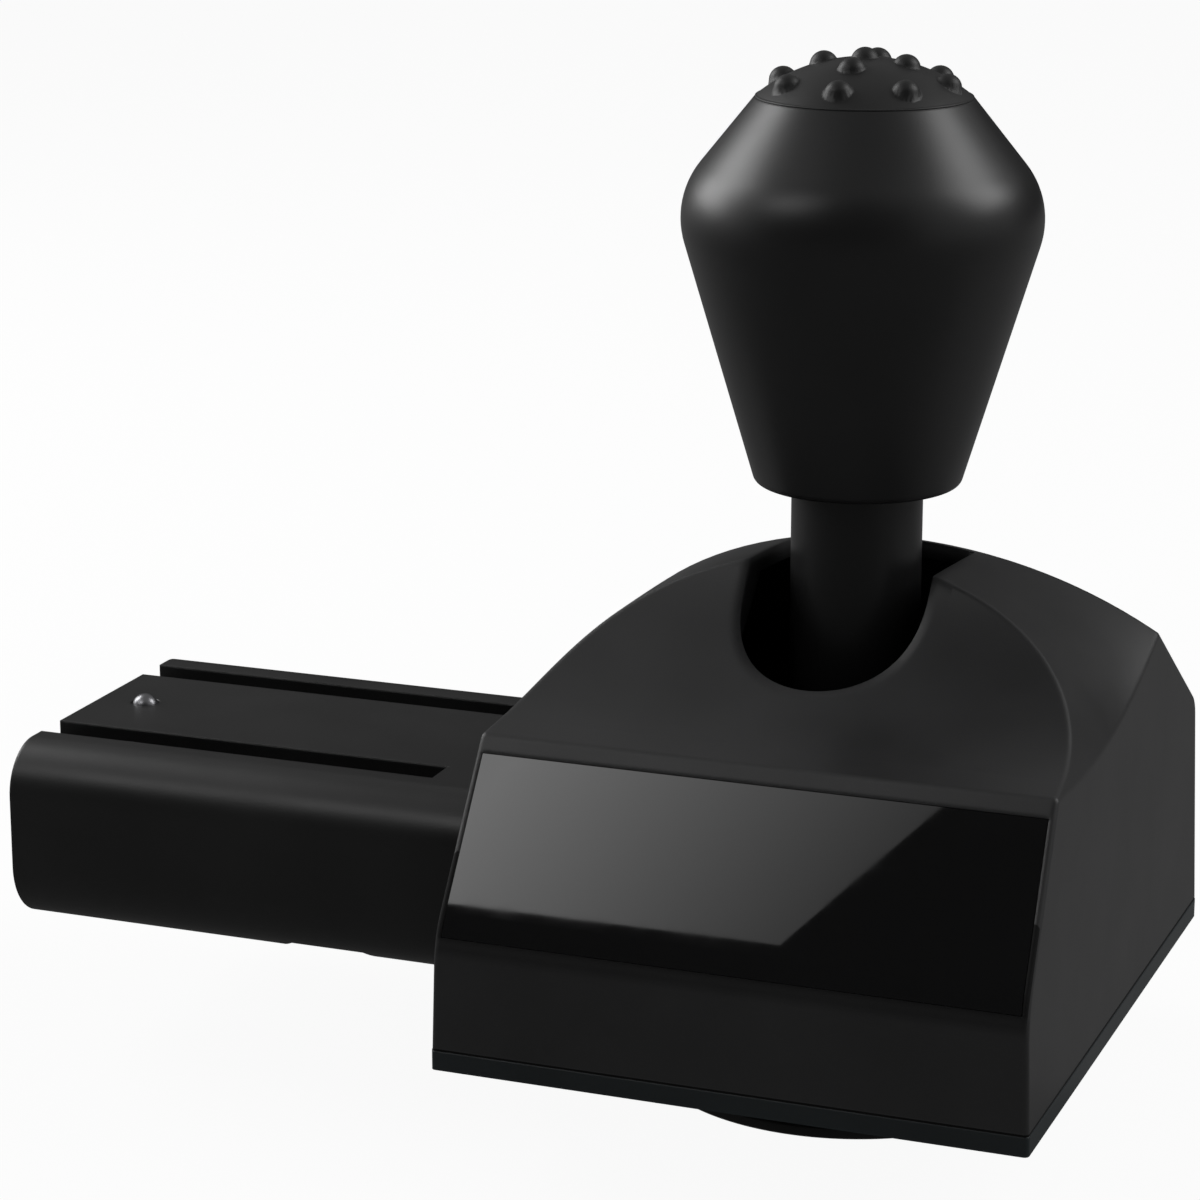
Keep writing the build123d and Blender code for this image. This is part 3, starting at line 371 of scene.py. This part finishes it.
def arc(start, middle, end, steps=24):
    """Points on the circle through three points of an outline."""
    (ax, ay), (bx, by), (cx, cy) = start, middle, end
    d = 2 * (ax * (by - cy) + bx * (cy - ay) + cx * (ay - by))
    aa, bb, cc = ax**2 + ay**2, bx**2 + by**2, cx**2 + cy**2
    ux = (aa * (by - cy) + bb * (cy - ay) + cc * (ay - by)) / d
    uy = (aa * (cx - bx) + bb * (ax - cx) + cc * (bx - ax)) / d
    first = math.atan2(ay - uy, ax - ux)
    last = math.atan2(cy - uy, cx - ux)
    passing = math.atan2(by - uy, bx - ux)
    span = (last - first) % (2 * math.pi)
    if (passing - first) % (2 * math.pi) > span:
        span -= 2 * math.pi
    radius = math.hypot(ax - ux, ay - uy)
    angles = [first + span * step / steps for step in range(steps + 1)]
    return [(ux + radius * math.cos(a), uy + radius * math.sin(a)) for a in angles]


def turned(outline, segments=160):
    """Vertices and faces of an outline (r, z) turned round the Z axis. The outline starts and ends on
    the axis, or closes on itself."""
    vertices, rings, faces = [], [], []
    closed = outline[0][0] > 1e-6
    for r, z in outline:
        if r < 1e-6:
            rings.append([len(vertices)] * segments)
            vertices.append((0.0, 0.0, z))
            continue
        rings.append(list(range(len(vertices), len(vertices) + segments)))
        for number in range(segments):
            angle = 2 * math.pi * number / segments
            vertices.append((r * math.cos(angle), r * math.sin(angle), z))
    pairs = list(zip(rings, rings[1:])) + ([(rings[-1], rings[0])] if closed else [])
    for low, high in pairs:
        for number in range(segments):
            after = (number + 1) % segments
            face = [low[number], low[after], high[after], high[number]]
            face = [v for place, v in enumerate(face) if v not in face[:place]]
            if len(face) > 2:
                faces.append(face)
    return vertices, faces


# Knob, its soft cap with thirteen bumps, and the lever's sleeve

seam_r, seam_z = 15.1, 142.3
knob_outline = rounded(
    [
        (0.0, 136.7),
        (5.0, 136.7),
        (5.0, 140.7),
        (13.5, 140.7),
        (13.5, 142.25),
        (seam_r, seam_z, 0.3),
        (26.5, 128.1, 12.0),
        (14.5, 87.9, 1.4),
        (9.45, 87.9, 0.3),
        (9.45, 89.9),
        (4.2, 89.9),
        (4.2, 96.3),
        (6.55, 96.3),
        (6.55, 114.3),
        (0.0, 114.3),
    ],
    14,
)
new_piece("knob_handle", *turned(knob_outline, 192), "knob_plastic", "lever", ["knob"])

cap_rise = 5.4
cap_sphere = (seam_r**2 + cap_rise**2) / (2 * cap_rise)
cap_centre = seam_z + cap_rise - cap_sphere
bump_radius, bump_sink, blend_width = 2.0, 0.6, 0.16
bumps = [(0.0, 0.0)]
for count, ring in ((4, 5.9), (8, 11.8)):
    for number in range(count):
        angle = 2 * math.pi * number / count
        bumps.append((ring * math.cos(angle), ring * math.sin(angle)))


def dome(r):
    return cap_centre + math.sqrt(cap_sphere**2 - r**2)


def cap_height(x, y):
    """The cap's surface with its bumps, each run into the dome by a small fillet."""
    ground = dome(math.hypot(x, y))
    for bump_x, bump_y in bumps:
        away = math.hypot(x - bump_x, y - bump_y)
        if away < bump_radius:
            bump = dome(math.hypot(bump_x, bump_y)) - bump_sink + math.sqrt(bump_radius**2 - away**2)
            overlap = max(blend_width - abs(ground - bump), 0.0) / blend_width
            ground = max(ground, bump) + overlap**2 * blend_width / 4
    return ground


cap_edge, cap_rings, cap_segments = 14.86, 112, 320
cap_under = [(0.0, 136.72), (4.97, 136.72), (4.97, 140.72), (13.47, 140.72)]
cap_under += [(13.47, 142.3), (14.8, 142.3)]
cap_rim = arc((14.8, 142.3), (seam_r - 0.02, 142.36), (cap_edge, dome(cap_edge)), 6)[1:]
cap_turned, cap_faces = turned(cap_under + cap_rim, cap_segments)
first = len(cap_turned) - cap_segments
for ring in range(1, cap_rings):
    r = cap_edge * (1 - ring / cap_rings)
    for number in range(cap_segments):
        angle = 2 * math.pi * number / cap_segments
        x, y = r * math.cos(angle), r * math.sin(angle)
        cap_turned.append((x, y, cap_height(x, y)))
cap_turned.append((0.0, 0.0, cap_height(0.0, 0.0)))
apex = len(cap_turned) - 1
for ring in range(cap_rings):
    low = first + cap_segments * ring
    high = low + cap_segments
    for number in range(cap_segments):
        after = (number + 1) % cap_segments
        if ring == cap_rings - 1:
            cap_faces.append([low + number, low + after, apex])
        else:
            cap_faces.append([low + number, low + after, high + after, high + number])
new_piece("knob_cap_bumps", cap_turned, cap_faces, "cap_rubber", "lever", ["knob_cap"], 60.0)

sleeve_outline = rounded(
    [
        (6.0, 59.9),
        (7.8, 59.9),
        (7.8, 54.5),
        (9.3, 54.5, 0.4),
        (9.3, 89.9, 0.2),
        (4.2, 89.9),
        (4.2, 59.9),
        (6.0, 59.9),
    ]
)
new_piece("lever_tube", *turned(sleeve_outline[:-1]), "lever_paint", "lever", ["lever_sleeve"])


# Suction foot

foot_outline = (
    arc((0.0, 3.4), (13.15, 2.55), (26.3, 0.15), 32)
    + [(26.42, 0.04), (26.6, 0.0), (28.3, 0.0), (28.58, 0.1), (28.7, 0.4), (28.7, 1.2)]
    + arc((28.66, 1.5), (20.0, 5.8), (9.0, 8.6), 32)
    + [(8.2, 8.75), (7.4, 9.0), (7.0, 9.6), (7.0, 14.3), (3.0, 14.3)]
    + [(3.0, 7.6), (5.0, 7.6), (5.0, 5.6), (0.0, 5.6)]
)
new_piece("foot_cup", *turned(foot_outline, 192), "foot_rubber", "base", ["suction_foot"])


# Screws, with a six-sided socket in each head


def screws(name, node, places, axis, head, shank):
    """The screws of a node. A place is the middle of a head's face, and the axis runs from there to
    the tip. Head and shank are a radius and a length each."""
    head_radius, head_length = head
    shank_radius, shank_length = shank
    socket, depth = 0.52 * head_radius, 0.6 * head_length
    tip = head_length + shank_length
    # Each ring has its radius, its depth below the head's face and its sides, with 0 for a round one
    rings = [
        (0.0, depth, 0),
        (socket, depth, 6),
        (socket, 0.12, 6),
        (1.06 * socket, 0.0, 6),
        (0.93 * head_radius, 0.0, 0),
        (head_radius, 0.18, 0),
        (head_radius, head_length, 0),
        (shank_radius, head_length, 0),
        (shank_radius, tip - 0.4, 0),
        (0.75 * shank_radius, tip, 0),
        (0.0, tip, 0),
    ]
    turn = Vector((0, 0, 1)).rotation_difference(Vector(axis))
    segments = 48
    vertices, faces = [], []
    for place in places:
        first = len(vertices)
        for radius, height, sides in rings:
            for number in range(segments):
                angle = math.tau * number / segments
                reach = radius
                if sides:
                    half = math.pi / sides
                    reach = radius * math.cos(half) / math.cos(angle % (2 * half) - half)
                point = Vector((reach * math.cos(angle), reach * math.sin(angle), height))
                vertices.append(Vector(place) + turn @ point)
        for ring in range(len(rings) - 1):
            for number in range(segments):
                after = (number + 1) % segments
                low, high = first + ring * segments, first + (ring + 1) * segments
                face = [low + number, high + number, high + after, low + after]
                if ring == 0:
                    face = [low, high + number, high + after]
                if ring == len(rings) - 2:
                    face = [low + number, high, low + after]
                faces.append(face)
    new_piece(name, vertices, faces, slots[node], "base", [node], 30.0)


plate_base, arm_end, board_head_top = 14.3, -117.9, 21.8
large, small = ((2.8, 1.6), (1.5, 8.0)), ((1.9, 1.2), (1.0, 5.0))
from_below, from_end, from_above = (0, 0, 1), (1, 0, 0), (0, 0, -1)
for name, node, xs, ys, z, axis, sizes in (
    ("body_screws", "housing_screws", (-36.4, 36.4), (-49.0, 34.0), plate_base, from_below, large),
    ("frame_screws", "bracket_screws", (-8, 8), (-28.5, 28.5), plate_base, from_below, large),
    ("side_screws", "arm_screws", (-34.6,), (-23.2, 8.8), plate_base, from_below, large),
    ("cap_screws", "end_cap_screws", (arm_end,), (-30.0, 15.6), 33.8, from_end, large),
    ("circuit_screws", "board_screws", (18.4, 30.2), (-17.5, 17.5), board_head_top, from_above, small),
):
    screws(name, node, [(x, y, z) for x in xs for y in ys], axis, *sizes)


# Springs: round wire with closed ends


def spring(name, seat, axis, sizes, node):
    """A coil that stands on its seat along an axis. Its sizes are its radius, its wire's radius, its
    length and its number of turns."""
    radius, wire, length, turns = sizes
    axis = Vector(axis)
    side = axis.orthogonal().normalized()
    other = axis.cross(side)
    end = 2.1 * wire
    pitch = (length - 2 * wire - 2 * end) / (turns - 2)
    steps = 28
    points = []
    for number in range(turns * steps + 1):
        turn = number / steps
        if turn < 1:
            rise = end * turn
        elif turn > turns - 1:
            rise = length - 2 * wire - end * (turns - turn)
        else:
            rise = end + pitch * (turn - 1)
        angle = 2 * math.pi * turn
        offset = (side * math.cos(angle) + other * math.sin(angle)) * radius
        points.append(Vector(seat) + offset + axis * (rise + wire))
    curve = bpy.data.curves.new(name + "_line", "CURVE")
    curve.dimensions = "3D"
    curve.bevel_depth = wire * MM
    curve.bevel_resolution = 5
    curve.use_fill_caps = True
    line = curve.splines.new("POLY")
    line.points.add(len(points) - 1)
    for target, point in zip(line.points, points):
        target.co = (*(point * MM), 1.0)
    wound = bpy.data.objects.new(name + "_line", curve)
    bpy.context.scene.collection.objects.link(wound)
    graph = bpy.context.evaluated_depsgraph_get()
    mesh = bpy.data.meshes.new_from_object(wound.evaluated_get(graph))
    bpy.data.objects.remove(wound)
    mesh.name = name
    mesh.shade_smooth()
    mesh.materials.clear()
    mesh.materials.append(materials["steel"])
    piece = bpy.data.objects.new(name, mesh)
    bpy.context.scene.collection.objects.link(piece)
    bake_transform(piece)
    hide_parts(node)


centring, sliding = (3.1, 0.4, 14.3, 8), ("base", "slider")
spring("spring_front", (0, -20.9, 24.0), (0, 1, 0), centring, "centring_spring_front")
spring("spring_rear", (0, 20.9, 24.0), (0, -1, 0), centring, "centring_spring_rear")
locking, sinking = (2.3, 0.25, 9.5, 6), ("base", "lock_pin")
spring("spring_lock", (-110.5, -7.2, 32.45), (0, 0, 1), locking, "lock_spring")


# Cable inside, from the board to the plug

cable_curve = bpy.data.curves.new("cable_run", "CURVE")
cable_curve.dimensions = "3D"
cable_curve.bevel_depth = 1.6 * MM
cable_curve.bevel_resolution = 6
cable_curve.use_fill_caps = True
cable_points = [
    (24.3, -18.0, 24.5),
    (24.3, -40.0, 24.5),
    (-20.0, -40.0, 24.5),
    (-20.0, -7.2, 24.5),
    (-101.9, -7.2, 24.5),
]
cable_line = cable_curve.splines.new("NURBS")
cable_line.points.add(len(cable_points) - 1)
for target, point in zip(cable_line.points, cable_points):
    target.co = (*(Vector(point) * MM), 1.0)
cable_line.order_u = 3
cable_line.use_endpoint_u = True
cable_line.resolution_u = 24
cable_piece = bpy.data.objects.new("cable_run", cable_curve)
bpy.context.scene.collection.objects.link(cable_piece)
cable_curve.materials.append(materials["cable_jacket"])
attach(cable_piece, "base")
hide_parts("cable")


# Floor, lamps and background


def ray_share(tree):
    """1 for rays that the camera, a gloss or a glass sees, and 0 for the light itself."""
    path = tree.nodes.new("ShaderNodeLightPath")
    seen = math_node(tree, "MAXIMUM", path.outputs["Is Camera Ray"], path.outputs["Is Glossy Ray"])
    return math_node(tree, "MAXIMUM", seen, path.outputs["Is Transmission Ray"])


def flat(name, corners, material):
    """A flat stage piece from corners in metres."""
    mesh = bpy.data.meshes.new(name)
    mesh.from_pydata([Vector(c) for c in corners], [], [list(range(len(corners)))])
    mesh.materials.append(material)
    piece = bpy.data.objects.new(name, mesh)
    bpy.context.scene.collection.objects.link(piece)
    piece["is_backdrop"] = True
    return piece


floor_radius, floor_seen = 6, 0.94
floor_material, floor_tree, floor_shader = new_material("floor_pale")
floor_tree.nodes.remove(floor_shader)
floor_out = floor_tree.nodes["Material Output"]
floor_paint = floor_tree.nodes.new("ShaderNodeBsdfDiffuse")
floor_paint.inputs["Color"].default_value = (0.86, 0.86, 0.86, 1.0)
floor_glow = floor_tree.nodes.new("ShaderNodeEmission")
floor_glow.inputs["Color"].default_value = (1.0, 1.0, 1.0, 1.0)
floor_glow.inputs["Strength"].default_value = 1.0
floor_mix = floor_tree.nodes.new("ShaderNodeMixShader")
floor_share = math_node(floor_tree, "MULTIPLY", ray_share(floor_tree), floor_seen)
link(floor_tree, floor_share, floor_mix.inputs[0])
link(floor_tree, floor_paint.outputs[0], floor_mix.inputs[1])
link(floor_tree, floor_glow.outputs[0], floor_mix.inputs[2])
link(floor_tree, floor_mix.outputs[0], floor_out.inputs["Surface"])
floor_angles = [math.tau * number / 96 for number in range(96)]
flat(
    "floor",
    [(floor_radius * math.cos(a), floor_radius * math.sin(a), -0.00005) for a in floor_angles],
    floor_material,
)

world = bpy.data.worlds.new("studio")
bpy.context.scene.world = world
world.use_nodes = True
sky = world.node_tree
sky_fill = sky.nodes["Background"]
sky_fill.inputs["Color"].default_value = (1.0, 1.0, 1.0, 1.0)
sky_fill.inputs["Strength"].default_value = 0.25
sky_white = sky.nodes.new("ShaderNodeBackground")
sky_white.inputs["Color"].default_value = (1.0, 1.0, 1.0, 1.0)
sky_white.inputs["Strength"].default_value = 1.0
sky_mix = sky.nodes.new("ShaderNodeMixShader")
link(sky, ray_share(sky), sky_mix.inputs[0])
link(sky, sky_fill.outputs[0], sky_mix.inputs[1])
link(sky, sky_white.outputs[0], sky_mix.inputs[2])
link(sky, sky_mix.outputs[0], sky.nodes["World Output"].inputs["Surface"])


def lamp(name, way, distance, size, radiance):
    """A soft lamp that shines on the object's middle from a direction."""
    data = bpy.data.lights.new(name, "AREA")
    data.shape = "RECTANGLE"
    data.size, data.size_y = size
    data.energy = radiance * math.pi * size[0] * size[1]
    thing = bpy.data.objects.new(name, data)
    way = Vector(way).normalized()
    thing.location = Vector((0.0, 0.0, 0.06)) + way * distance
    thing.rotation_mode = "QUATERNION"
    thing.rotation_quaternion = (-way).to_track_quat("-Z", "Y")
    thing.visible_camera = False
    bpy.context.scene.collection.objects.link(thing)


lamp("lamp_left", (-0.868, 0.154, 0.471), 0.9, (0.45, 0.55), 6.2)
lamp("lamp_right", (0.70, 0.334, 0.632), 1.0, (0.5, 0.55), 5.0)


# Card whose reflection shows in the glossy inlay, and dark flags round the camera

panel_normal = Vector((0.0, -0.8476, 0.5306))
panel_point = Vector((0.0, -0.0488, 0.0458))


def mirrored(x, y, reach):
    """The place at a distance that the panel reflects to a point of the photograph's frame."""
    half = sensor_width / 2 / lens
    way = right * ((x / 600.0 - 1.0) * half) + up * ((1.0 - y / 600.0) * half) - back
    way.normalize()
    hit = place + way * ((panel_point - place).dot(panel_normal) / way.dot(panel_normal))
    bounce = way - panel_normal * (2 * way.dot(panel_normal))
    return hit + bounce * reach


def glow(name, strength):
    """A material that only gives off an even white or grey."""
    material, tree, shader = new_material(name)
    tree.nodes.remove(shader)
    emission = tree.nodes.new("ShaderNodeEmission")
    emission.inputs["Color"].default_value = (1.0, 1.0, 1.0, 1.0)
    emission.inputs["Strength"].default_value = strength
    link(tree, emission.outputs[0], tree.nodes["Material Output"].inputs["Surface"])
    return material


def reflected(name, corners, material):
    """A flat card that shows in reflections and neither lights nor shades anything."""
    sheet = flat(name, corners, material)
    sheet.visible_camera = False
    sheet.visible_diffuse = False
    sheet.visible_shadow = False
    sheet.visible_transmission = False


def along(tree, start, end):
    """How far a point has come from a start to an end, from 0 to 1."""
    way = end - start
    dot = tree.nodes.new("ShaderNodeVectorMath")
    dot.operation = "DOT_PRODUCT"
    dot.inputs[1].default_value = way / way.length_squared
    link(tree, position(tree), dot.inputs[0])
    first = start.dot(way) / way.length_squared
    return spread(tree, dot.outputs["Value"], first, first + 1.0, 0.0, 1.0)


# The card ends at two lines that cross the inlay, and is dimmer towards the inlay's lower right
card_reach, card_strength = 1.0, 3.5
low_left, low_right, high_right, bright_end, dim_end = (
    mirrored(*pixel, card_reach)
    for pixel in ((445, 903), (780, 945), (940, 808), (470, 815), (775, 1074))
)
sideways = (low_left - low_right).normalized()
upward = (high_right - low_right).normalized()
card = [
    low_right + sideways * 0.55,
    low_right,
    low_right + upward * 0.35,
    low_right + upward * 0.35 + sideways * 0.65,
]
card_light = glow("card_light", card_strength)
card_tree = card_light.node_tree
fade = spread(card_tree, along(card_tree, bright_end, dim_end), 0.0, 1.0, 1.0, 0.42)
fade = math_node(card_tree, "POWER", fade, 2.2)
card_level = math_node(card_tree, "MULTIPLY", fade, card_strength)
link(card_tree, card_level, card_tree.nodes["Emission"].inputs["Strength"])
reflected("card", card, card_light)

# Dark flags that keep the studio out of the black plastic: round it, above it and on the floor
side, near, far, middle, high_back, top, mat = 1.8, -1.25, 1.5, 0.7, 1.3, 1.7, 0.0002
for name, strength, corners in (
    ("flag_front", 0.04, [(-side, near, 0), (side, near, 0), (side, near, top), (-side, near, top)]),
    ("flag_back", 0.02, [(-side, far, 0), (side, far, 0), (side, far, middle), (-side, far, middle)]),
    (
        "flag_high",
        0.28,
        [(-side, far, middle), (side, far, middle), (side, high_back, top), (-side, high_back, top)],
    ),
    ("flag_left", 0.35, [(-side, near, 0), (-side, far, 0), (-side, far, top), (-side, near, top)]),
    ("flag_right", 0.35, [(side, near, 0), (side, far, 0), (side, far, top), (side, near, top)]),
    ("flag_top", 0.3, [(-side, near, top), (side, near, top), (side, far, top), (-side, far, top)]),
    ("mat_front", 0.11, [(-side, near, mat), (side, near, mat), (side, 0, mat), (-side, 0, mat)]),
    ("mat_back", 0.19, [(-side, 0, mat), (side, 0, mat), (side, far, mat), (-side, far, mat)]),
):
    reflected(name, corners, glow("grey", strength))


visual_low, visual_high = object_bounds()
sizes = {"cad": [list(cad_low), list(cad_high)], "visual": [list(visual_low), list(visual_high)]}
